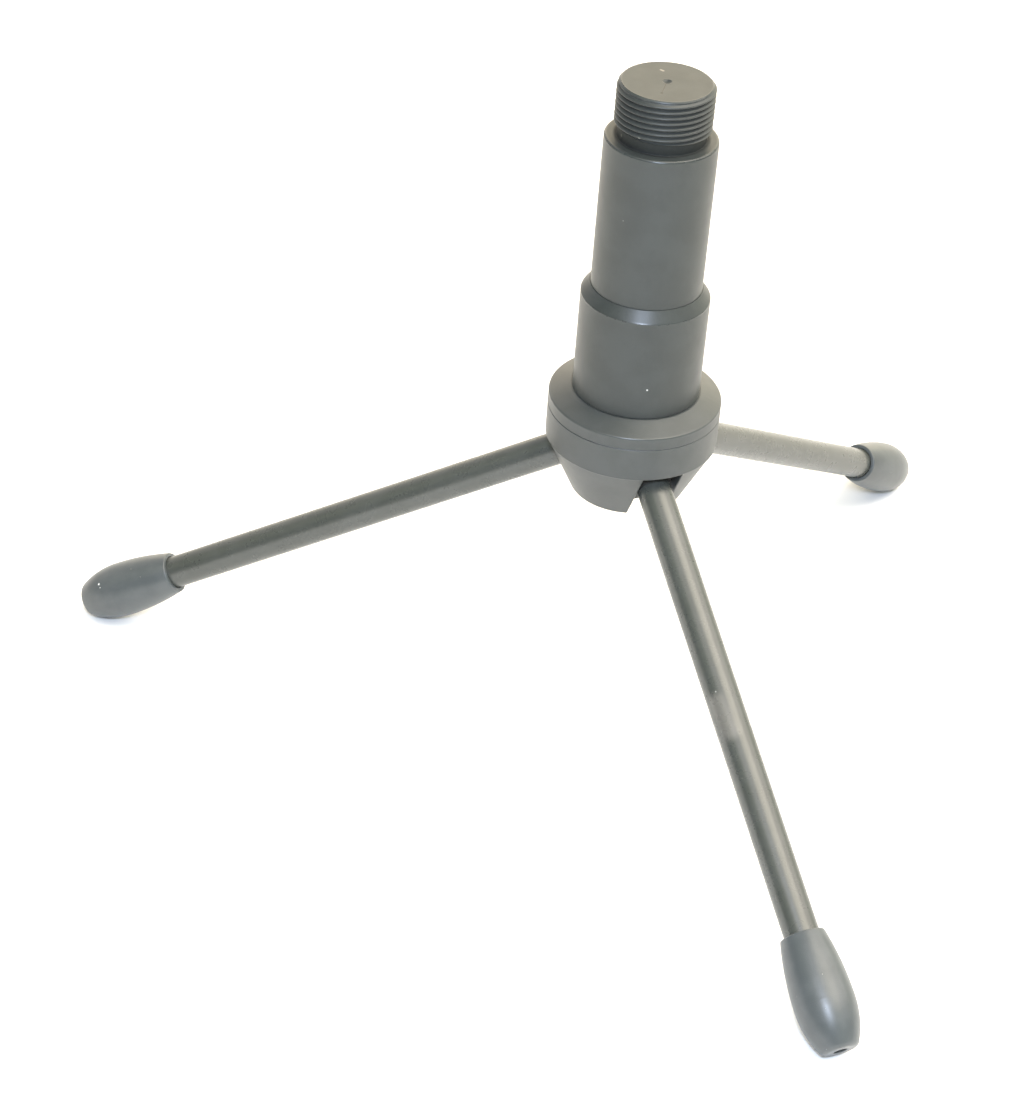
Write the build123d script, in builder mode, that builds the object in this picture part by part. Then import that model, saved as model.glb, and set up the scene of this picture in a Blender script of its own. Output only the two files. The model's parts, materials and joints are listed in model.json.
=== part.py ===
"""Folding table-top tripod with a threaded stud, in millimetres.

Z points up along the column and z = 0 is the table top. The origin is the point of the table straight below the
column. Leg 1 points along -X, legs 2 and 3 follow at equal angles. The rest pose is the stand opened out; each leg
folds down about its own hinge until it hangs parallel to the column.
"""

from build123d import *
from math import asin, cos, radians, sin
import os

# ---- legs and stance
leg_count = 3
first_leg_azimuth = 180.0
leg_slope = 29.6  # degrees below the horizontal when open
leg_length = 101.7  # hinge axis to the foot's tip
tube_diameter = 5.8
tube_wall = 1.0

# ---- rubber feet, a revolved outline along the leg
foot_length = 18.9
foot_lip_wall = 0.66  # outside the gap in the mouth
foot_belly_swell = 1.29  # rim to belly, radial
foot_belly_offset = 11.3  # rim to the widest point
foot_bore_depth = 14.5
foot_mouth_gap = 0.08  # around the tube, in the mouth
foot_mouth_depth = 0.3
foot_lip_round = 0.25
toe_round = 1.2
toe_flat_radius = 2.2
toe_hole_radius = 1.1
toe_hole_depth = 1.6

# ---- hinges
hinge_radius = 8.3  # column axis to hinge axis
hinge_depth = 2.67  # hinge axis below the slot's ceiling
pin_diameter = 2.0
pin_length = 14.0
cheek_depth = 0.55  # milled off each side of the rod end
knuckle_neck = 3.0  # hinge axis to the tube's end
knuckle_shank_length = 9.0
washer_diameter = 4.4
tongue_length = 2.4  # part of the cap that keeps a pin down

# ---- hub
hub_radius = 14.6
band_height = 5.91  # slot ceiling to the parting plane
band_edge_inset = 0.15  # where the cone starts inside the band
cone_height = 10.0
cone_bottom_radius = 9.6
cone_bottom_round = 0.6
slot_side_gap = 0.55  # each side of a tube
slot_edge_round = 0.2
recess_wall = 2.2  # the band's wall around the cap's plug
parting_bevel = 0.12

# ---- cap ring
cap_rim_height = 2.19
cap_rim_round = 0.35
cap_rise = 1.5  # rim to the flat seat under the sleeve
cap_seat_radius = 11.0

# ---- column
sleeve_radius = 10.72
sleeve_height = 19.76
step_height = 1.84
step_top_radius = 9.36
sleeve_foot_bevel = 0.2
barrel_radius = 9.22
barrel_height = 26.55
barrel_edge_bevel = 0.45
spigot_radius = 8.0

# ---- external thread, 5/8 inch, 27 turns to the inch
thread_major_diameter = 15.75
thread_pitch = 25.4 / 27
thread_length = 7.25
thread_flat_top_radius = 7.25
neck_height = 2.05
neck_radius = 7.2
thread_lead_in = 1.51  # turns of groove below the thread, cut in the neck
thread_run_out = 1.3  # turns of groove above the thread
dimple_radius = 0.8  # lathe centre mark in the stud's end
dimple_depth = 0.5

# ---- central screw
screw_diameter = 4.0
screw_engagement = 10.0
screw_head_diameter = 7.0
screw_head_height = 4.0
socket_across_flats = 3.0
socket_depth = 2.0
washer_ring_thickness = 0.5
washer_ring_diameter = 7.6
spring_ring_thickness = 0.9
spring_ring_diameter = 7.0
spring_ring_gap = 0.8
head_recess = 0.5  # screw head above the hub's lowest face

# ---- clearances
running_gap = 0.05  # radial, hinge pin in what turns on it
push_gap = 0.02  # radial, pieces pushed together
side_gap = 0.05  # each flat face that slides at a hinge
stop_gap = 0.03  # open stop face to the ceiling
fold_gap = 0.3  # folded tube to the hub's core
hole_gap = 0.15  # radial, screw in a through hole
seat_gap = 0.1  # below a piece whose flange seats first

# ---- sizes that follow
slope = radians(leg_slope)
tube_radius = tube_diameter / 2
pin_radius = pin_diameter / 2
crest_radius = thread_major_diameter / 2
screw_radius = screw_diameter / 2
foot_bore_radius = tube_radius + push_gap
foot_rim_radius = foot_bore_radius + foot_mouth_gap + foot_lip_wall
foot_belly_radius = foot_rim_radius + foot_belly_swell

toe_reach = leg_length - toe_round
hinge_height = toe_reach * sin(slope) + toe_flat_radius * cos(slope) + toe_round
ceiling_height = hinge_height + hinge_depth
parting_height = ceiling_height + band_height
rim_height = parting_height + cap_rim_height
seat_height = rim_height + cap_rise
step_top = seat_height + sleeve_height
shoulder_height = step_top + barrel_height
thread_foot = shoulder_height + neck_height
stud_top = thread_foot + thread_length
hub_bottom = ceiling_height - cone_height
plug_radius = hub_radius - recess_wall
head_clear_radius = screw_head_diameter / 2 + 0.5
head_seat = hub_bottom + head_recess + screw_head_height + spring_ring_thickness + washer_ring_thickness
slot_width = tube_diameter + 2 * slot_side_gap
knuckle_width = tube_diameter - 2 * cheek_depth
washer_thickness = (slot_width - knuckle_width) / 2 - 2 * side_gap
knuckle_nose = hinge_depth - stop_gap
core_reach = hinge_radius - max(tube_radius, knuckle_nose) - fold_gap
rim_station = leg_length - foot_length
leg_azimuths = [first_leg_azimuth + 360.0 * k / leg_count for k in range(leg_count)]


def upright(azimuth):
    """Plane through the column and one leg: local x is the radius, local y the height."""
    radial = Vector(1, 0, 0).rotate(Axis.Z, azimuth)
    return Plane(origin=(0, 0, 0), x_dir=radial, z_dir=radial.cross(Vector(0, 0, 1)))


def along_leg(azimuth):
    """The same plane moved to the hinge and turned so that local x runs down the leg."""
    side = upright(azimuth)
    hinge = side.from_local_coords(Vector(hinge_radius, hinge_height, 0))
    outward = side.x_dir * cos(slope) - Vector(0, 0, 1) * sin(slope)
    return Plane(origin=hinge, x_dir=outward, z_dir=side.z_dir)


def finish(piece, label):
    """Label one finished piece and write it."""
    piece.part.label = label
    export_step(piece.part, f"parts/{label}.step")


os.makedirs("parts", exist_ok=True)

# ---- upper column: spigot, barrel, relief neck, external thread
with BuildPart() as upper_column:
    spigot_foot = rim_height + seat_gap
    with BuildSketch(Plane.XZ):
        with BuildLine():
            Polyline(
                (0, spigot_foot),
                (spigot_radius, spigot_foot),
                (spigot_radius, step_top),
                (barrel_radius, step_top),
                (barrel_radius, shoulder_height - barrel_edge_bevel),
                (barrel_radius - barrel_edge_bevel, shoulder_height),
                (neck_radius, shoulder_height),
                (neck_radius, thread_foot),
                (crest_radius, thread_foot),
                (crest_radius, stud_top - (crest_radius - thread_flat_top_radius)),
                (thread_flat_top_radius, stud_top),
                (dimple_radius, stud_top),
                (0, stud_top - dimple_depth),
                close=True,
            )
        make_face()
    revolve(axis=Axis.Z)
    # blind hole for the central screw
    with Locations(Location((0, 0, spigot_foot), (180, 0, 0))):
        Hole(screw_radius + push_gap, depth=screw_engagement)
    # the thread is one helical groove that runs in from the neck and out through the top
    groove_depth = 0.6134 * thread_pitch
    root_half = thread_pitch / 16
    mouth_half = root_half + groove_depth * 0.57735
    groove_start = thread_foot - thread_lead_in * thread_pitch
    groove_height = thread_length + (thread_lead_in + thread_run_out) * thread_pitch
    clear_of_crest = 0.05
    with BuildLine():
        groove_path = Helix(thread_pitch, groove_height, crest_radius, center=(0, 0, groove_start))
    with BuildSketch(Plane.XZ):
        with BuildLine():
            Polyline(
                (crest_radius - groove_depth, groove_start - root_half),
                (crest_radius, groove_start - mouth_half),
                (crest_radius + clear_of_crest, groove_start - mouth_half),
                (crest_radius + clear_of_crest, groove_start + mouth_half),
                (crest_radius, groove_start + mouth_half),
                (crest_radius - groove_depth, groove_start + root_half),
                close=True,
            )
        make_face()
    sweep(path=groove_path, is_frenet=True, mode=Mode.SUBTRACT)
finish(upper_column, "upper_column")

# ---- lower sleeve, trapped between the barrel's shoulder and the cap ring
with BuildPart() as lower_sleeve:
    with BuildSketch(Plane.XZ):
        with BuildLine():
            Polyline(
                (spigot_radius + push_gap, seat_height),
                (sleeve_radius - sleeve_foot_bevel, seat_height),
                (sleeve_radius, seat_height + sleeve_foot_bevel),
                (sleeve_radius, step_top - step_height),
                (step_top_radius, step_top),
                (spigot_radius + push_gap, step_top),
                close=True,
            )
        make_face()
    revolve(axis=Axis.Z)
finish(lower_sleeve, "lower_sleeve")

# ---- cap ring: rim, sloping top, pilot recess for the spigot, plug that closes the hub, tongues over the pins
plug_foot = ceiling_height + seat_gap
tongue_foot = hinge_height + pin_radius + side_gap
tongue_width = pin_diameter - 2 * side_gap
tongue_middle = pin_length / 2 - tongue_length / 2 - side_gap
with BuildPart() as cap_ring:
    with BuildSketch(Plane.XZ):
        with BuildLine():
            Polyline(
                (screw_radius + hole_gap, plug_foot),
                (plug_radius - push_gap, plug_foot),
                (plug_radius - push_gap, parting_height),
                (hub_radius - parting_bevel, parting_height),
                (hub_radius, parting_height + parting_bevel),
                (hub_radius, rim_height),
                (cap_seat_radius, seat_height),
                (spigot_radius + push_gap, seat_height),
                (spigot_radius + push_gap, rim_height),
                (screw_radius + hole_gap, rim_height),
                close=True,
            )
        make_face()
    revolve(axis=Axis.Z)
    rim_edge = cap_ring.edges().filter_by(GeomType.CIRCLE).filter_by(lambda e: abs(e.radius - hub_radius) < 1e-6)
    fillet(rim_edge.sort_by(Axis.Z)[-1], cap_rim_round)
    with BuildSketch(Plane.XY.offset(tongue_foot)):
        for azimuth in leg_azimuths:
            for side in (-1, 1):
                spot = Vector(hinge_radius, side * tongue_middle, 0).rotate(Axis.Z, azimuth)
                with Locations(Location(spot, (0, 0, azimuth))):
                    Rectangle(tongue_width, tongue_length)
    extrude(amount=plug_foot - tongue_foot + cap_rim_height)
finish(cap_ring, "cap_ring")

# ---- hub body: band and cone, recess for the plug, leg slots open downwards, grooves for the pins
with BuildPart() as hub_body:
    with BuildSketch(Plane.XZ):
        with BuildLine():
            Polyline(
                (screw_radius + hole_gap, ceiling_height),
                (plug_radius, ceiling_height),
                (plug_radius, parting_height),
                (hub_radius - parting_bevel, parting_height),
                (hub_radius, parting_height - parting_bevel),
                (hub_radius, ceiling_height + band_edge_inset),
                (hub_radius - band_edge_inset, ceiling_height),
                (cone_bottom_radius, hub_bottom),
                (head_clear_radius, hub_bottom),
                (head_clear_radius, head_seat),
                (screw_radius + hole_gap, head_seat),
                close=True,
            )
        make_face()
    revolve(axis=Axis.Z)
    foot_edge = hub_body.edges().filter_by(GeomType.CIRCLE).group_by(Axis.Z)[0].sort_by(SortBy.RADIUS)[-1]
    fillet(foot_edge, cone_bottom_round)
    for azimuth in leg_azimuths:
        out = Vector(core_reach + hub_radius, 0, 0).rotate(Axis.Z, azimuth)
        with BuildSketch(Plane.XY.offset(ceiling_height)):
            with Locations(Location(out, (0, 0, azimuth))):
                Rectangle(2 * hub_radius, slot_width)
        extrude(amount=-2 * cone_height, mode=Mode.SUBTRACT)
    # the slots' long edges on the cone are curved, unlike its round top and bottom edges
    cone_face = hub_body.faces().filter_by(GeomType.CONE).sort_by(SortBy.AREA)[-3:]
    slot_edges = cone_face.edges().filter_by(GeomType.CIRCLE, reverse=True)
    fillet(slot_edges, slot_edge_round)
    for azimuth in leg_azimuths:
        # groove with a half-round floor, open to the recess above
        with BuildSketch(upright(azimuth)):
            with Locations((hinge_radius, hinge_height)):
                Circle(pin_radius + push_gap)
            with Locations((hinge_radius, hinge_height + hinge_depth / 2)):
                Rectangle(pin_diameter + 2 * push_gap, hinge_depth)
        extrude(amount=pin_length / 2 + side_gap, both=True, mode=Mode.SUBTRACT)
finish(hub_body, "hub_body")

# ---- central screw with its flat washer and split spring washer
head_foot = hub_bottom + head_recess
head_top = head_foot + screw_head_height
with BuildPart() as column_screw:
    with BuildSketch(Plane.XY.offset(head_foot)):
        Circle(screw_head_diameter / 2)
    extrude(amount=screw_head_height)
    chamfer(column_screw.edges().group_by(Axis.Z)[0], 0.3)
    with BuildSketch(Plane.XY.offset(head_top)):
        Circle(screw_radius)
    extrude(amount=spigot_foot + screw_engagement - 1.0 - head_top)
    with BuildSketch(Plane.XY.offset(head_foot)):
        RegularPolygon(socket_across_flats / 2, 6, major_radius=False)
    extrude(amount=socket_depth, mode=Mode.SUBTRACT)
finish(column_screw, "column_screw")

with BuildPart() as spring_washer:
    with BuildSketch(Plane.XY.offset(head_top)):
        Circle(spring_ring_diameter / 2)
        Circle(screw_radius + hole_gap, mode=Mode.SUBTRACT)
        with Locations((spring_ring_diameter / 2, 0)):
            Rectangle(spring_ring_diameter, spring_ring_gap, mode=Mode.SUBTRACT)
    extrude(amount=spring_ring_thickness)
finish(spring_washer, "spring_washer")

with BuildPart() as screw_washer:
    with BuildSketch(Plane.XY.offset(head_top + spring_ring_thickness)):
        Circle(washer_ring_diameter / 2)
        Circle(screw_radius + hole_gap, mode=Mode.SUBTRACT)
    extrude(amount=washer_ring_thickness)
finish(screw_washer, "screw_washer")

# ---- the legs, each with its hinge
for number, azimuth in enumerate(leg_azimuths, start=1):
    leg_plane = along_leg(azimuth)
    leg_axis = Axis(leg_plane.origin, leg_plane.x_dir)

    with BuildPart() as hinge_pin:
        with BuildSketch(leg_plane):
            Circle(pin_radius)
        extrude(amount=pin_length / 2, both=True)
        chamfer(hinge_pin.edges(), 0.2)
    finish(hinge_pin, f"hinge_pin_{number}")

    # rod end: a round bar with milled cheeks, a nose about the pin and a flat that meets the ceiling when open
    stop_start = Vector(-sin(slope), cos(slope)) * knuckle_nose
    stop_end_x = (tube_radius * cos(slope) - knuckle_nose) / sin(slope)
    with BuildPart() as leg_knuckle:
        with BuildSketch(leg_plane):
            with BuildLine():
                Line((knuckle_neck, -tube_radius), (knuckle_neck, tube_radius))
                Line((knuckle_neck, tube_radius), (stop_end_x, tube_radius))
                Line((stop_end_x, tube_radius), stop_start)
                ThreePointArc(stop_start, (-knuckle_nose, 0), (0, -knuckle_nose))
                Line((0, -knuckle_nose), (knuckle_neck, -tube_radius))
            make_face()
        extrude(amount=knuckle_width / 2, both=True)
        with BuildSketch(Plane(leg_plane.origin, x_dir=leg_plane.z_dir, z_dir=leg_plane.x_dir)):
            Circle(tube_radius)
        extrude(amount=leg_length / 2, both=True, mode=Mode.INTERSECT)
        shank = Plane(
            leg_plane.origin + leg_plane.x_dir * knuckle_neck, x_dir=leg_plane.z_dir, z_dir=leg_plane.x_dir
        )
        with BuildSketch(shank):
            Circle(tube_radius - tube_wall - push_gap)
        extrude(amount=knuckle_shank_length)
        with BuildSketch(leg_plane):
            Circle(pin_radius + running_gap)
        extrude(amount=knuckle_width, both=True, mode=Mode.SUBTRACT)
    finish(leg_knuckle, f"leg_knuckle_{number}")

    with BuildPart() as hinge_washers:
        washer_inner_face = knuckle_width / 2 + side_gap
        for side in (-1, 1):
            with BuildSketch(leg_plane.offset(side * washer_inner_face)):
                Circle(washer_diameter / 2)
                Circle(pin_radius + running_gap, mode=Mode.SUBTRACT)
            extrude(amount=side * washer_thickness)
    finish(hinge_washers, f"hinge_washers_{number}")

    tube_end = rim_station + foot_bore_depth - 0.3
    with BuildPart() as leg_tube:
        with BuildSketch(leg_plane):
            with Locations(((knuckle_neck + tube_end) / 2, tube_radius - tube_wall / 2)):
                Rectangle(tube_end - knuckle_neck, tube_wall)
        revolve(axis=leg_axis)
    finish(leg_tube, f"leg_tube_{number}")

    # three arcs, each tangent to the next: rim to belly, belly to toe, and the toe's own round
    shank_arc = (foot_belly_offset**2 + foot_belly_swell**2) / (2 * foot_belly_swell)
    toe_run = foot_length - toe_round - foot_belly_offset
    toe_fall = foot_belly_radius - toe_flat_radius
    toe_arc = (toe_run**2 + toe_fall**2 - toe_round**2) / (2 * (toe_fall - toe_round))
    toe_angle = asin(toe_run / (toe_arc - toe_round))
    rim = Vector(rim_station, foot_rim_radius)
    belly = Vector(rim_station + foot_belly_offset, foot_belly_radius)
    half_turn = asin(foot_belly_offset / shank_arc) / 2
    shank_middle = belly + Vector(-sin(half_turn), cos(half_turn) - 1) * shank_arc
    toe_middle = belly + Vector(sin(toe_angle / 2), cos(toe_angle / 2) - 1) * toe_arc
    toe_start = belly + Vector(sin(toe_angle), cos(toe_angle) - 1) * toe_arc
    with BuildPart() as rubber_foot:
        with BuildSketch(leg_plane):
            with BuildLine():
                ThreePointArc(rim, shank_middle, belly)
                ThreePointArc(belly, toe_middle, toe_start)
                TangentArc(toe_start, (leg_length, toe_flat_radius), tangent=(cos(toe_angle), -sin(toe_angle)))
                Polyline(
                    (leg_length, toe_flat_radius),
                    (leg_length, toe_hole_radius),
                    (leg_length - toe_hole_depth, toe_hole_radius),
                    (leg_length - toe_hole_depth, 0),
                    (rim_station + foot_bore_depth, 0),
                    (rim_station + foot_bore_depth, foot_bore_radius),
                    (rim_station + foot_mouth_depth + foot_mouth_gap, foot_bore_radius),
                    (rim_station + foot_mouth_depth, foot_bore_radius + foot_mouth_gap),
                    (rim_station, foot_bore_radius + foot_mouth_gap),
                    rim,
                )
            make_face()
        revolve(axis=leg_axis)
        rim_edges = rubber_foot.edges().filter_by(GeomType.CIRCLE)
        fillet(rim_edges.filter_by(lambda e: abs(e.radius - foot_rim_radius) < 1e-6), foot_lip_round)
    finish(rubber_foot, f"rubber_foot_{number}")

print("hinge height", round(hinge_height, 3), "overall height", round(stud_top, 3))
print("reach of the feet", round(hinge_radius + leg_length * cos(slope), 3))
print("fold angle", round(90 - leg_slope, 3))
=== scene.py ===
import json
from math import asin, ceil, cos, pi, radians, sin, tan, tau

import bmesh
import bpy
from mathutils import Matrix, Vector


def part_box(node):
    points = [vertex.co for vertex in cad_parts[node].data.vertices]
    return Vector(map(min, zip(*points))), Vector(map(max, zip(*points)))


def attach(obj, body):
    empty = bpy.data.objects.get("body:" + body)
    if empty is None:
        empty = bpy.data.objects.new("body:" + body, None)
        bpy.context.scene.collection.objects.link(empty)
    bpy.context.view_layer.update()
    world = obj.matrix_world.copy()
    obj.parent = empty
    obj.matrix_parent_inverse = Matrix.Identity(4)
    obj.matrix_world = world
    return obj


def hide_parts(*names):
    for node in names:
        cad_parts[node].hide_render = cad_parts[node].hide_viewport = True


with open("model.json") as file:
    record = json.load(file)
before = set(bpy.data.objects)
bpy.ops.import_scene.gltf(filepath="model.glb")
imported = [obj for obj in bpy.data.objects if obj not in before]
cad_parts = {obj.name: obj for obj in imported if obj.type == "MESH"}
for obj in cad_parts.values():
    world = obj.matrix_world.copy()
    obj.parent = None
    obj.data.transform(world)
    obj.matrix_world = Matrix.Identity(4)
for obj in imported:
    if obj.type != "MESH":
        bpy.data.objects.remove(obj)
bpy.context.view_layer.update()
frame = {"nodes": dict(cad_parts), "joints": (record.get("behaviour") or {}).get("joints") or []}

# ------------------------------------------------------------------ sizes, in millimetres and degrees
MM = 0.001
FACETS = 160  # round a piece of the column
LEG_FACETS = 112  # round a leg's tube or foot
ARC_STEP = radians(15)  # along a rounded edge
GUARD = 0.03  # flat faces stay flat this close to a rounded edge
CORNER_ROUND = 0.1  # on plain corners of any piece
MERGE = 1e-7  # metres
SHARP_ANGLE = radians(38)

# camera, placed round the column's axis
CAMERA_AZIMUTH = -85.66  # degrees from +X
CAMERA_REACH = 384.5
CAMERA_ABOVE_RIM = 235.5
CAMERA_HEADING_OFF = 2.886  # off the column's axis
CAMERA_DOWN = 35.10
CAMERA_ROLL = 4.257
CAMERA_LENS = 87.3  # for a 36 mm sensor

# upper column
SPIGOT_RADIUS = 8.0
SCREW_HOLE_RADIUS = 2.02
SCREW_HOLE_DEPTH = 10.0
BARREL_EDGE = 0.45
BARREL_HEIGHT = 26.55
NECK_RADIUS = 7.2
NECK_HEIGHT = 2.05
NECK_FILLET = 0.15
CREST_RADIUS = 7.875
FLAT_TOP_RADIUS = 7.25
DIMPLE_RADIUS = 0.8
DIMPLE_DEPTH = 0.5
DIMPLE_ROUND = 0.12
THREAD_PITCH = 25.4 / 27
THREAD_DEPTH = 0.6134 * THREAD_PITCH
THREAD_START = 1.51  # pitches from the groove's centre up to the thread's foot, where it passes +X
# distance from the groove's centre in pitches, and how much of the full depth is cut there
THREAD_FLANK = [(0, 0.8), (0.06, 0.78), (0.12, 0.69), (0.28, 0.32), (0.37, 0.12), (0.43, 0.02), (0.5, 0)]

# lower sleeve and cap ring
STEP_HEIGHT = 1.84
STEP_TOP_RADIUS = 9.36
STEP_TOP_ROUND = 0.04
SLEEVE_FOOT_ROUND = 0.2
FIT_GAP = 0.02  # radial, sleeve round the spigot
CAP_RISE = 1.5  # cap ring's top above the hub's rim

# legs, along their own axes from the hinge
LEG_SLOPE = 29.6
LEG_LENGTH = 101.7
TUBE_RADIUS = 2.9
TUBE_WALL = 1.0
TUBE_START = 3.0
TUBE_EDGE = 0.12
TUBE_ROWS = 60
TUBE_END_GAP = 0.3  # to the bottom of the foot's bore

# rubber foot, from its rim
FOOT_LENGTH = 18.9
FOOT_RIM_RADIUS = 3.66
FOOT_BELLY_RADIUS = 4.95
FOOT_BELLY_OFFSET = 11.3
FOOT_BORE_DEPTH = 14.5
FOOT_LIP_ROUND = 0.22
FOOT_LIP_REACH = 0.6  # the shank's curve starts this far from the rim
MOUTH_GAP = 0.08
MOUTH_DEPTH = 0.3
MOUTH_ROUND = 0.06
TOE_ROUND = 1.2
TOE_FLAT_RADIUS = 2.2
TOE_HOLE_RADIUS = 1.1
TOE_HOLE_DEPTH = 1.6
TOE_HOLE_ROUND = 0.15
SEAM_HEIGHT = 0.006  # ridge round the belly, where the mould parts
SEAM_WIDTH = 0.3

# ------------------------------------------------------------------ light levels, with lengths in metres
FLOOR_SIZE = 6
FLOOR_ALBEDO = 0.9
FLOOR_GLOW = 0.05
FLASH_WATTS = 2.0
FLASH_COLOUR = (0.68, 0.79, 1.0)
FLASH_SIZE = 0.08
FLASH_ABOVE_LENS = 0.06
SKY = (0.02, 0.02, 0.02)
# bright parts of the surroundings: azimuth, elevation, half width, colour times strength
SKY_LOBES = [
    (94, 20, 42, (3.2, 2.8, 2.1)),
    (49, 20, 42, (1.5, 1.5, 1.2)),
    (-41, 20, 42, (0.9, 1.0, 0.9)),
    (139, 20, 42, (1.1, 1.05, 1.0)),
    (28, 45, 30, (3.8, 3.4, 3.1)),
    (-158, 45, 30, (0.6, 0.65, 0.45)),
    (-8, 70, 28, (8.8, 8.1, 6.8)),
    (-108, 62, 30, (2.9, 2.7, 2.4)),
]


# ------------------------------------------------------------------ surfaces, in millimetres
CLOUD_SIZE = 5.0  # blotches of colour
CLOUD_SHARE = 0.7  # of the mottling; the fine grain has the rest
GLOSS_SIZE = 2.4  # blotches of gloss
GLOSS_SPREAD = 0.02
LATHE_SPACING = 0.12
LATHE_STRETCH = 0.02  # marks run this much slower round the column than up it
# painted shade in crevices: how much of the colour the dark shade colour covers
CREVICE_SHADE_COVER = 0.8
DULLING = 0.3  # roughness that dust, and the painted shade in crevices, add
RUBBING = 0.14  # roughness that a rubbed edge loses
SPECK_RISE = 6.0  # of a speck of dust, in heights of the fine grain
DUST = (0.55, 0.55, 0.52, 1)
# colour of the painted shade in the thread's roots and round the neck
CREVICE_SHADE_COLOUR = (0.007, 0.009, 0.008, 1)
# layers of dust: spacing, radius, share of the cells that hold a speck
THIN_DUST = [(5.0, 0.09, 0.05)]
POWDER = [(5.0, 0.1, 0.1), (1.1, 0.07, 0.14)]


# ------------------------------------------------------------------ helpers: places
def mm(value):
    return value / MM


def foot_of(node):
    return mm(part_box(node)[0].z)


def top_of(node):
    return mm(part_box(node)[1].z)


def radius_of(node):
    return mm(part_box(node)[1].y)


# places and radii taken from the frame
STUD_TOP = top_of("upper_column")
STEP_TOP = top_of("lower_sleeve")
SHOULDER = STEP_TOP + BARREL_HEIGHT
THREAD_FOOT = SHOULDER + NECK_HEIGHT
HUB_RIM = top_of("cap_ring") - CAP_RISE
BARREL_RADIUS = radius_of("upper_column")
SLEEVE_RADIUS = radius_of("lower_sleeve")
HUB_RADIUS = radius_of("cap_ring")


# ------------------------------------------------------------------ helpers: turned meshes
def ring(radius, height, facets=FACETS):
    """One row of a turned mesh, closed on itself."""
    angles = [tau * k / facets for k in range(facets + 1)]
    return [(radius * cos(angle), radius * sin(angle), height) for angle in angles]


def soften(corners):
    """Outline through (radius, height, rounding) corners: an arc in each, between two guard points."""
    path = []
    for k, (radius, height, rounding) in enumerate(corners):
        here = Vector((radius, height))
        if rounding == 0:
            path.append(here)
            continue
        back = (Vector(corners[k - 1][:2]) - here).normalized()
        ahead = (Vector(corners[(k + 1) % len(corners)][:2]) - here).normalized()
        half = back.angle(ahead) / 2
        reach = rounding / tan(half)
        centre = here + (back + ahead).normalized() * rounding / sin(half)
        spoke = here + back * reach - centre
        turn = spoke.angle_signed(here + ahead * reach - centre)
        steps = max(2, ceil(abs(turn) / ARC_STEP))
        path.append(here + back * (reach + GUARD))
        for step in range(steps + 1):
            path.append(centre + Matrix.Rotation(-turn * step / steps, 2) @ spoke)
        path.append(here + ahead * (reach + GUARD))
    return path


def skin(name, rows, place=Matrix.Identity(4)):
    """Object whose mesh joins each row of points to the next. Rows and points that coincide are merged."""
    mesh = bmesh.new()
    grid = [[mesh.verts.new(point) for point in row] for row in rows]
    for row, after in zip(grid, grid[1:]):
        for k in range(len(row) - 1):
            mesh.faces.new((row[k], row[k + 1], after[k + 1], after[k]))
    mesh.transform(Matrix.Scale(MM, 4) @ place)
    bmesh.ops.remove_doubles(mesh, verts=mesh.verts, dist=MERGE)
    bmesh.ops.recalc_face_normals(mesh, faces=mesh.faces)
    data = bpy.data.meshes.new(name)
    mesh.to_mesh(data)
    mesh.free()
    data.shade_smooth()
    data.set_sharp_from_angle(angle=SHARP_ANGLE)
    piece = bpy.data.objects.new(name, data)
    bpy.context.scene.collection.objects.link(piece)
    return piece


def turned(name, path, place=Matrix.Identity(4), facets=FACETS):
    """Object made by turning an outline of (radius, height) points about its own Z axis."""
    return skin(name, [ring(radius, height, facets) for radius, height in path], place)


# ------------------------------------------------------------------ helpers: node materials
def new_material(name):
    """Empty material with a Principled BSDF. Returns the material, its node tree and the shader."""
    material = bpy.data.materials.new(name)
    material.use_nodes = True
    tree = material.node_tree
    return material, tree, tree.nodes["Principled BSDF"]


def add(tree, kind, inputs=None, **settings):
    """New node. Inputs are values or the sockets of other nodes."""
    node = tree.nodes.new("ShaderNode" + kind)
    for key, value in settings.items():
        setattr(node, key, value)
    for key, value in (inputs or {}).items():
        if isinstance(value, bpy.types.NodeSocket):
            tree.links.new(value, node.inputs[key])
        else:
            node.inputs[key].default_value = value
    return node


def millimetres(tree, stretch=(1, 1, 1)):
    """Place on the piece, in millimetres, with each direction scaled by stretch."""
    place = add(tree, "TexCoord").outputs["Object"]
    scale = [s / MM for s in stretch]
    return add(tree, "Mapping", {"Vector": place, "Scale": scale}).outputs["Vector"]


def noise(tree, where, size, detail=3.0, roughness=0.55):
    """Soft noise whose blotches are about size millimetres across."""
    inputs = {"Vector": where, "Scale": 1 / size, "Detail": detail, "Roughness": roughness}
    return add(tree, "TexNoise", inputs).outputs["Fac"]


def remap(tree, value, low, high, to_low, to_high, smooth=False):
    """Value carried from the first range to the second and held within it."""
    inputs = {"Value": value, "From Min": low, "From Max": high, "To Min": to_low, "To Max": to_high}
    kind = "SMOOTHSTEP" if smooth else "LINEAR"
    return add(tree, "MapRange", inputs, interpolation_type=kind).outputs["Result"]


def blend_colours(tree, amount, first, second):
    """Colour that goes from first to second as amount goes from 0 to 1."""
    node = add(tree, "Mix", data_type="RGBA")
    for socket, value in ((node.inputs[0], amount), (node.inputs[6], first), (node.inputs[7], second)):
        if isinstance(value, bpy.types.NodeSocket):
            tree.links.new(value, socket)
        else:
            socket.default_value = value
    return node.outputs[2]


def maths(tree, operation, first, second):
    return add(tree, "Math", {0: first, 1: second}, operation=operation).outputs["Value"]


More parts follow.
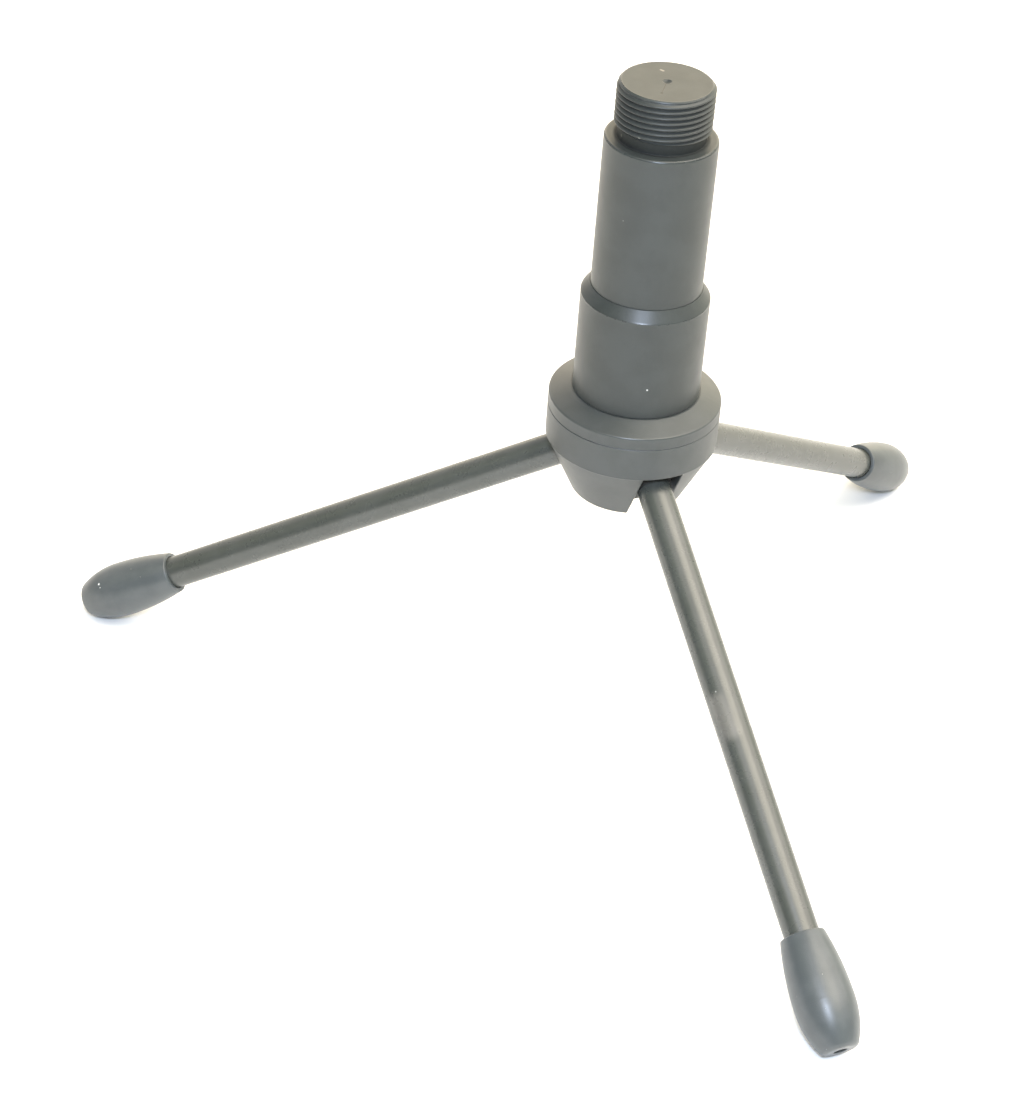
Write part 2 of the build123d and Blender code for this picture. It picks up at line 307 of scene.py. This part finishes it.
def dust(tree, where, spacing, radius, share):
    """1 on round specks of dust, which fill about this share of a loose grid's cells, and 0 elsewhere."""
    cells = add(tree, "TexVoronoi", {"Vector": where, "Scale": 1 / spacing})
    near = remap(tree, cells.outputs["Distance"], radius / spacing, radius / spacing * 0.5, 0, 1)
    pick = add(tree, "SeparateColor", {"Color": cells.outputs["Color"]}).outputs["Red"]
    return maths(tree, "MULTIPLY", near, maths(tree, "GREATER_THAN", pick, 1 - share))


def strongest(tree, amounts):
    """The largest of these sockets, or 0 where there are none."""
    total = amounts[0] if amounts else 0
    for amount in amounts[1:]:
        total = maths(tree, "MAXIMUM", total, amount)
    return total


def scuff(tree, where, start, end, half_width):
    """1 within this distance of a line from start to end, fading to 0. A spot is a line of no length."""
    along = Vector(end) - Vector(start)
    offset = add(tree, "VectorMath", {0: where, 1: start}, operation="SUBTRACT").outputs["Vector"]
    if along.length > 0:
        share = add(tree, "VectorMath", {0: offset, 1: along / along.length_squared}, operation="DOT_PRODUCT")
        share = remap(tree, share.outputs["Value"], 0, 1, 0, 1)
        nearest = add(tree, "VectorMath", {0: along, "Scale": share}, operation="SCALE").outputs["Vector"]
        offset = add(tree, "VectorMath", {0: offset, 1: nearest}, operation="SUBTRACT").outputs["Vector"]
    distance = add(tree, "VectorMath", {0: offset}, operation="LENGTH").outputs["Value"]
    return remap(tree, distance, half_width, half_width * 0.2, 0, 1, smooth=True)


def off_axis(tree, where):
    """Distance from the column's axis, and height."""
    parts = add(tree, "SeparateXYZ", {"Vector": where}).outputs
    flat = add(tree, "CombineXYZ", {"X": parts["X"], "Y": parts["Y"]}).outputs["Vector"]
    return add(tree, "VectorMath", {0: flat}, operation="LENGTH").outputs["Value"], parts["Z"]


def rubbed_edge(tree, radius, height, ring_radius, ring_height, reach):
    """1 on a turned edge of this radius and height, fading to 0 at this reach from it."""
    across = maths(tree, "SUBTRACT", radius, ring_radius)
    up = maths(tree, "SUBTRACT", height, ring_height)
    squares = maths(tree, "ADD", maths(tree, "MULTIPLY", across, across), maths(tree, "MULTIPLY", up, up))
    return remap(tree, maths(tree, "POWER", squares, 0.5), reach, reach * 0.3, 0, 1, smooth=True)


def crevice(tree, radius, height, deep, clear, low, high):
    """Mask of painted shade: 1 between two heights at the deep radius, fading to 0 at the clear one."""
    amount = remap(tree, radius, deep, clear, 1, 0, smooth=True)
    amount = maths(tree, "MULTIPLY", amount, maths(tree, "GREATER_THAN", height, low))
    return maths(tree, "MULTIPLY", amount, maths(tree, "LESS_THAN", height, high))


def coat(
    name, dark, light, roughness, grain=0.25, relief=0.004, lathe=0.0, specular=0.5, metallic=0.0,
    dusting=THIN_DUST, scuffs=(), edges=(), crevices=(),
):
    """Sprayed or moulded finish: clouded colour, uneven gloss, fine grain, lathe marks, dust and wear, with
    shade painted into crevices.

    A scuff is a start, an end, a half width, a colour and how far it stands proud of the fine grain.
    An edge is the radius and height of a turned edge that is rubbed smooth, and how far that reaches.
    A crevice is a radius where shade is painted darkest, a radius where there is none, and the heights
    between which it lies.
    Relief is the height of the fine grain, and a finish without relief is smooth.
    """
    material, tree, shader = new_material(name)
    where = millimetres(tree)
    radius, above = off_axis(tree, where)
    # mask of the shade painted into crevices, where shade falls
    crevice_shade = strongest(tree, [crevice(tree, radius, above, *place) for place in crevices])
    rubbed = strongest(tree, [rubbed_edge(tree, radius, above, *place) for place in edges])
    speck = strongest(tree, [dust(tree, where, *layer) for layer in dusting])

    clouds = remap(tree, noise(tree, where, CLOUD_SIZE), 0.35, 0.65, 0, 1, smooth=True)
    fine = noise(tree, where, grain, detail=2.0)
    clouded = maths(tree, "MULTIPLY", clouds, CLOUD_SHARE)
    mottle = maths(tree, "ADD", clouded, maths(tree, "MULTIPLY", fine, 1 - CLOUD_SHARE))
    colour = blend_colours(tree, mottle, (*dark, 1), (*light, 1))
    height = fine
    for start, end, half_width, mark, rise in scuffs:
        amount = scuff(tree, where, start, end, half_width)
        colour = blend_colours(tree, amount, colour, (*mark, 1))
        height = maths(tree, "ADD", height, maths(tree, "MULTIPLY", amount, rise))
    # painted shade: the colour darkens in the crevices
    colour = blend_colours(tree, maths(tree, "MULTIPLY", crevice_shade, CREVICE_SHADE_COVER), colour, CREVICE_SHADE_COLOUR)
    tree.links.new(blend_colours(tree, speck, colour, DUST), shader.inputs["Base Color"])

    low, high = roughness - GLOSS_SPREAD, roughness + GLOSS_SPREAD
    gloss = remap(tree, noise(tree, where, GLOSS_SIZE), 0.3, 0.7, low, high)
    # dust and the painted crevice shade both add roughness
    gloss = maths(tree, "ADD", gloss, maths(tree, "MULTIPLY", maths(tree, "ADD", speck, crevice_shade), DULLING))
    gloss = maths(tree, "SUBTRACT", gloss, maths(tree, "MULTIPLY", rubbed, RUBBING))
    tree.links.new(gloss, shader.inputs["Roughness"])
    shader.inputs["Specular IOR Level"].default_value = specular
    shader.inputs["Metallic"].default_value = metallic
    if relief == 0:
        return material

    height = maths(tree, "ADD", height, maths(tree, "MULTIPLY", speck, SPECK_RISE))
    if lathe:
        slow_round = millimetres(tree, (LATHE_STRETCH, LATHE_STRETCH, 1))
        marks = noise(tree, slow_round, LATHE_SPACING, detail=1.0)
        height = maths(tree, "ADD", height, maths(tree, "MULTIPLY", marks, lathe))
    bump = add(tree, "Bump", {"Height": height, "Strength": 1.0, "Distance": relief * MM})
    tree.links.new(bump.outputs["Normal"], shader.inputs["Normal"])
    return material


# ------------------------------------------------------------------ camera and light
def make_camera(rim_height):
    azimuth = radians(CAMERA_AZIMUTH)
    height = rim_height + CAMERA_ABOVE_RIM
    place = Vector((cos(azimuth) * CAMERA_REACH, sin(azimuth) * CAMERA_REACH, height)) * MM
    data = bpy.data.cameras.new("camera")
    data.lens = CAMERA_LENS
    data.sensor_width = 36
    data.clip_start = 0.01
    camera = bpy.data.objects.new("camera", data)
    heading = azimuth + pi / 2 + radians(CAMERA_HEADING_OFF)
    look = Matrix.Rotation(heading, 4, "Z") @ Matrix.Rotation(pi / 2 - radians(CAMERA_DOWN), 4, "X")
    look = look @ Matrix.Rotation(radians(CAMERA_ROLL), 4, "Z")
    camera.matrix_world = Matrix.Translation(place) @ look
    bpy.context.scene.collection.objects.link(camera)
    bpy.context.scene.camera = camera
    return camera


def direction(azimuth, elevation):
    flat = cos(radians(elevation))
    return Vector((flat * cos(radians(azimuth)), flat * sin(radians(azimuth)), sin(radians(elevation))))


def make_sky():
    """Plain surroundings with soft brighter parts, as white cards and windows round a table give."""
    world = bpy.data.worlds.new("studio")
    bpy.context.scene.world = world
    world.use_nodes = True
    tree = world.node_tree
    view = add(tree, "TexCoord").outputs["Generated"]
    total = add(tree, "RGB")
    total.outputs[0].default_value = (*SKY, 1)
    total = total.outputs[0]
    for azimuth, elevation, half_width, colour in SKY_LOBES:
        toward = direction(azimuth, elevation)
        along = add(tree, "VectorMath", {0: view, 1: toward}, operation="DOT_PRODUCT").outputs["Value"]
        amount = remap(tree, along, cos(radians(half_width)), 1, 0, 1, smooth=True)
        part = add(tree, "VectorMath", {0: colour, "Scale": amount}, operation="SCALE").outputs["Vector"]
        total = add(tree, "VectorMath", {0: total, 1: part}, operation="ADD").outputs["Vector"]
    tree.links.new(total, tree.nodes["Background"].inputs["Color"])


def make_flash(camera):
    """Small soft lamp on the camera."""
    data = bpy.data.lights.new("flash", "AREA")
    data.shape = "DISK"
    data.size = FLASH_SIZE
    data.energy = FLASH_WATTS
    data.color = FLASH_COLOUR
    lamp = bpy.data.objects.new("flash", data)
    lamp.matrix_world = camera.matrix_world @ Matrix.Translation((0, FLASH_ABOVE_LENS, 0))
    bpy.context.scene.collection.objects.link(lamp)


def make_floor():
    bpy.ops.mesh.primitive_plane_add(size=FLOOR_SIZE)
    floor = bpy.context.object
    floor.name = "floor"
    material, tree, shader = new_material("floor")
    shader.inputs["Base Color"].default_value = (FLOOR_ALBEDO, FLOOR_ALBEDO, FLOOR_ALBEDO, 1)
    shader.inputs["Roughness"].default_value = 0.9
    shader.inputs["Specular IOR Level"].default_value = 0.1
    shader.inputs["Emission Color"].default_value = (1, 1, 1, 1)
    shader.inputs["Emission Strength"].default_value = FLOOR_GLOW
    floor.data.materials.append(material)


bpy.context.scene.view_settings.view_transform = "Standard"
camera = make_camera(HUB_RIM)
make_sky()
make_flash(camera)
make_floor()

# ------------------------------------------------------------------ materials
# marks of use, in millimetres: a spot and a scratch on the stud's end, specks down the column and on
# foot 1, and a smudge on leg 2
COLUMN_SCUFFS = [
    ((-1.5, 3.95, STUD_TOP), (-1.1, 3.7, STUD_TOP), 0.32, (0.22, 0.2, 0.17), 1),
    ((-0.1, -0.8, STUD_TOP), (-0.35, -4.6, STUD_TOP), 0.12, (0.01, 0.01, 0.01), -6),
    ((-0.35, -4.4, STUD_TOP), (-0.35, -4.6, STUD_TOP), 0.3, (0.01, 0.01, 0.01), -3),
    ((-2.9, -7.2, 113.9), (-2.9, -7.2, 113.9), 0.24, (0.5, 0.5, 0.45), 4),
    ((-6.1, -4.0, 112.4), (-6.1, -4.0, 112.4), 0.4, (0.4, 0.4, 0.3), 4),
    ((-4.1, -8.3, 99.8), (-4.1, -8.3, 99.8), 0.14, (0.2, 0.2, 0.19), 2),
    ((2.7, -10.4, 70.7), (2.7, -10.4, 70.7), 0.22, (0.6, 0.6, 0.58), 6),
]
COLUMN_EDGES = [
    (BARREL_RADIUS - 0.1, SHOULDER - 0.1, 0.6),
    (SLEEVE_RADIUS, STEP_TOP - STEP_HEIGHT, 0.35),
    (FLAT_TOP_RADIUS, STUD_TOP, 0.25),
]
# painted shade, darker towards the thread's roots and in the neck under the thread
COLUMN_CREVICES = [
    (CREST_RADIUS - 0.5, CREST_RADIUS - 0.05, THREAD_FOOT, STUD_TOP - 0.7),
    (NECK_RADIUS + 0.1, NECK_RADIUS + 0.8, SHOULDER - 0.05, THREAD_FOOT),
]
HUB_EDGES = [(HUB_RADIUS - 0.1, HUB_RIM - 0.1, 0.4)]
LEG_SCUFFS = [
    ((21.4, -41.4, 33.2), (24.2, -45.4, 30.9), 2.3, (0.13, 0.127, 0.115), 0),
    ((21.0, -40.1, 34.3), (21.0, -40.1, 34.3), 0.16, (0.5, 0.5, 0.48), 4),
]
FOOT_SCUFFS = [
    ((-93.9, -2.8, 8.6), (-93.9, -2.8, 8.6), 0.28, (0.9, 0.9, 0.88), 4),
    ((-93.5, -3.4, 8.3), (-93.5, -3.4, 8.3), 0.16, (0.7, 0.7, 0.68), 4),
]
column_paint = coat(
    "column_paint", (0.030, 0.035, 0.034), (0.037, 0.043, 0.042), 0.42,
    lathe=0.5, specular=0.42, scuffs=COLUMN_SCUFFS, edges=COLUMN_EDGES, crevices=COLUMN_CREVICES,
)
hub_paint = coat(
    "hub_paint", (0.041, 0.047, 0.046), (0.050, 0.056, 0.056), 0.44, grain=0.3, relief=0.006, edges=HUB_EDGES
)
leg_paint = coat(
    "leg_paint", (0.050, 0.055, 0.049), (0.060, 0.065, 0.060), 0.28,
    grain=0.3, relief=0, specular=0.6, scuffs=LEG_SCUFFS,
)
foot_rubber = coat(
    "foot_rubber", (0.062, 0.071, 0.074), (0.082, 0.092, 0.096), 0.36,
    grain=0.22, relief=0.012, dusting=POWDER, scuffs=FOOT_SCUFFS,
)
knuckle_paint = coat("knuckle_paint", (0.045, 0.046, 0.044), (0.058, 0.058, 0.056), 0.38, grain=0.3)
washer_nylon = coat("washer_nylon", (0.018, 0.018, 0.019), (0.026, 0.026, 0.027), 0.45, grain=0.2)
bare_steel = coat("bare_steel", (0.50, 0.49, 0.47), (0.60, 0.59, 0.57), 0.34, grain=0.15, metallic=1.0)


# ------------------------------------------------------------------ the column
def cut_share(pitches):
    """How much of the thread's depth is cut, this many pitches above the groove's centre."""
    off = abs((pitches + 0.5) % 1 - 0.5)
    for (near, deep), (far, shallow) in zip(THREAD_FLANK, THREAD_FLANK[1:]):
        if off <= far:
            return deep + (shallow - deep) * (off - near) / (far - near)
    return 0


def thread_rows():
    """Rows that climb with the thread, held between its foot and the stud's end."""
    offsets = [-off for off, _ in THREAD_FLANK[:0:-1]] + [off for off, _ in THREAD_FLANK[:-1]]
    turns = ceil((STUD_TOP - THREAD_FOOT) / THREAD_PITCH) + 2
    rows = []
    for turn_number in range(turns):
        for offset in offsets:
            row = []
            for k in range(FACETS + 1):
                groove = THREAD_FOOT + THREAD_PITCH * (k / FACETS - THREAD_START)
                height = groove + THREAD_PITCH * (turn_number + offset)
                height = min(max(height, THREAD_FOOT), STUD_TOP)
                radius = CREST_RADIUS - THREAD_DEPTH * cut_share((height - groove) / THREAD_PITCH)
                radius = min(radius, FLAT_TOP_RADIUS + STUD_TOP - height)
                row.append((radius * cos(tau * k / FACETS), radius * sin(tau * k / FACETS), height))
            rows.append(row)
    return rows


def make_column():
    spigot_foot = foot_of("upper_column")
    below = soften([
        (0, spigot_foot + SCREW_HOLE_DEPTH, 0),
        (SCREW_HOLE_RADIUS, spigot_foot + SCREW_HOLE_DEPTH, 0),
        (SCREW_HOLE_RADIUS, spigot_foot, CORNER_ROUND),
        (SPIGOT_RADIUS, spigot_foot, CORNER_ROUND),
        (SPIGOT_RADIUS, STEP_TOP, 0),
        (BARREL_RADIUS, STEP_TOP, 0),
        (BARREL_RADIUS, SHOULDER, BARREL_EDGE),
        (NECK_RADIUS, SHOULDER, NECK_FILLET),
        (NECK_RADIUS, THREAD_FOOT, 0),
    ])
    above = soften([
        (FLAT_TOP_RADIUS, STUD_TOP, 0),
        (DIMPLE_RADIUS, STUD_TOP, DIMPLE_ROUND),
        (0, STUD_TOP - DIMPLE_DEPTH, 0),
    ])
    rows = [ring(radius, height) for radius, height in below]
    rows += thread_rows()
    rows += [ring(radius, height) for radius, height in above]
    column = skin("threaded_column", rows)
    column.data.materials.append(column_paint)
    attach(column, "stand")
    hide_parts("upper_column")


def make_sleeve():
    foot = foot_of("lower_sleeve")
    bore = SPIGOT_RADIUS + FIT_GAP
    corners = [
        (bore, foot, 0),
        (SLEEVE_RADIUS, foot, SLEEVE_FOOT_ROUND),
        (SLEEVE_RADIUS, STEP_TOP - STEP_HEIGHT, CORNER_ROUND),
        (STEP_TOP_RADIUS, STEP_TOP, STEP_TOP_ROUND),
        (bore, STEP_TOP, 0),
        (bore, foot, 0),
    ]
    sleeve = turned("column_sleeve", soften(corners))
    sleeve.data.materials.append(column_paint)
    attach(sleeve, "stand")
    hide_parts("lower_sleeve")


make_column()
make_sleeve()


# ------------------------------------------------------------------ the legs
def leg_place(joint, down):
    """Frame on a leg's axis, this far down from the hinge, with +Z down the leg, in millimetres."""
    hinge = Vector(joint["pos_m"]) / MM
    outward = Vector((hinge.x, hinge.y, 0)).normalized()
    slope = radians(LEG_SLOPE)
    along = outward * cos(slope) - Vector((0, 0, 1)) * sin(slope)
    side = Vector(joint["axis"]).normalized()
    turn = Matrix((side, along.cross(side), along)).transposed().to_4x4()
    return Matrix.Translation(hinge + along * down) @ turn


def foot_outline():
    """Outline of a rubber foot from its bore, round the mouth, belly and toe, to the hole in the toe."""
    drop = FOOT_BELLY_RADIUS - FOOT_RIM_RADIUS
    shank_arc = (FOOT_BELLY_OFFSET**2 + drop**2) / (2 * drop)
    run = FOOT_LENGTH - TOE_ROUND - FOOT_BELLY_OFFSET
    fall = FOOT_BELLY_RADIUS - TOE_FLAT_RADIUS
    toe_arc = (run**2 + fall**2 - TOE_ROUND**2) / (2 * (fall - TOE_ROUND))
    toe_angle = asin(run / (toe_arc - TOE_ROUND))
    shank_angle = asin(FOOT_BELLY_OFFSET / shank_arc)
    bore = TUBE_RADIUS + FIT_GAP
    mouth = soften([
        (bore, MOUTH_DEPTH + MOUTH_GAP, 0),
        (bore + MOUTH_GAP, MOUTH_DEPTH, 0),
        (bore + MOUTH_GAP, 0, MOUTH_ROUND),
        (FOOT_RIM_RADIUS, 0, FOOT_LIP_ROUND),
        (FOOT_RIM_RADIUS + tan(shank_angle), 1, 0),
    ])[:-1]
    outline = [Vector((0, FOOT_BORE_DEPTH)), Vector((bore, FOOT_BORE_DEPTH))] + mouth
    shank_steps = 24
    for k in range(1, shank_steps):
        angle = -shank_angle * (1 - k / shank_steps)
        offset = FOOT_BELLY_OFFSET + shank_arc * sin(angle)
        if FOOT_LIP_REACH < offset < FOOT_BELLY_OFFSET - SEAM_WIDTH:
            outline.append(Vector((FOOT_BELLY_RADIUS - shank_arc * (1 - cos(angle)), offset)))
    for share in (-1, -0.6, -0.3, 0, 0.3, 0.6, 1):
        rise = SEAM_HEIGHT * (1 + cos(pi * share)) / 2
        outline.append(Vector((FOOT_BELLY_RADIUS + rise, FOOT_BELLY_OFFSET + share * SEAM_WIDTH / 2)))
    toe_steps = 16
    for k in range(1, toe_steps + 1):
        angle = toe_angle * k / toe_steps
        offset = FOOT_BELLY_OFFSET + toe_arc * sin(angle)
        if offset > FOOT_BELLY_OFFSET + SEAM_WIDTH:
            outline.append(Vector((FOOT_BELLY_RADIUS - toe_arc * (1 - cos(angle)), offset)))
    round_steps = 10
    round_centre = Vector((TOE_FLAT_RADIUS, FOOT_LENGTH - TOE_ROUND))
    for k in range(1, round_steps + 1):
        angle = toe_angle + (pi / 2 - toe_angle) * k / round_steps
        outline.append(round_centre + TOE_ROUND * Vector((cos(angle), sin(angle))))
    outline += soften([
        (TOE_FLAT_RADIUS - GUARD, FOOT_LENGTH, 0),
        (TOE_HOLE_RADIUS, FOOT_LENGTH, TOE_HOLE_ROUND),
        (TOE_HOLE_RADIUS, FOOT_LENGTH - TOE_HOLE_DEPTH, CORNER_ROUND),
        (0, FOOT_LENGTH - TOE_HOLE_DEPTH, 0),
    ])
    return outline


def tube_outline(end):
    """Outline of a tube, with rows between its ends that keep the facets from being long and thin."""
    inner = TUBE_RADIUS - TUBE_WALL
    rows = [TUBE_START + (end - TUBE_START) * k / TUBE_ROWS for k in range(1, TUBE_ROWS)]
    return soften([
        (inner, TUBE_START, 0),
        (TUBE_RADIUS, TUBE_START, TUBE_EDGE),
        *[(TUBE_RADIUS, down, 0) for down in rows],
        (TUBE_RADIUS, end, TUBE_EDGE),
        (inner, end, 0),
        *[(inner, down, 0) for down in reversed(rows)],
        (inner, TUBE_START, 0),
    ])


def make_legs():
    rim = LEG_LENGTH - FOOT_LENGTH
    tube_path = tube_outline(rim + FOOT_BORE_DEPTH - TUBE_END_GAP)
    for number, joint in enumerate(frame["joints"], start=1):
        tube = turned(f"leg_{number}_tube", tube_path, leg_place(joint, 0), LEG_FACETS)
        tube.data.materials.append(leg_paint)
        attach(tube, joint["child"])
        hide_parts(f"leg_tube_{number}")
        foot = turned(f"leg_{number}_foot", foot_outline(), leg_place(joint, rim), LEG_FACETS)
        foot.data.materials.append(foot_rubber)
        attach(foot, joint["child"])
        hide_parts(f"rubber_foot_{number}")


make_legs()

# ------------------------------------------------------------------ CAD pieces that keep their shape
KEPT = {
    "cap_ring": hub_paint,
    "hub_body": hub_paint,
    "column_screw": bare_steel,
    "spring_washer": bare_steel,
    "screw_washer": bare_steel,
}
for number in (1, 2, 3):
    KEPT[f"leg_knuckle_{number}"] = knuckle_paint
    KEPT[f"hinge_pin_{number}"] = bare_steel
    KEPT[f"hinge_washers_{number}"] = washer_nylon
for node_name, material in KEPT.items():
    slots = frame["nodes"][node_name].data.materials
    slots.clear()
    slots.append(material)
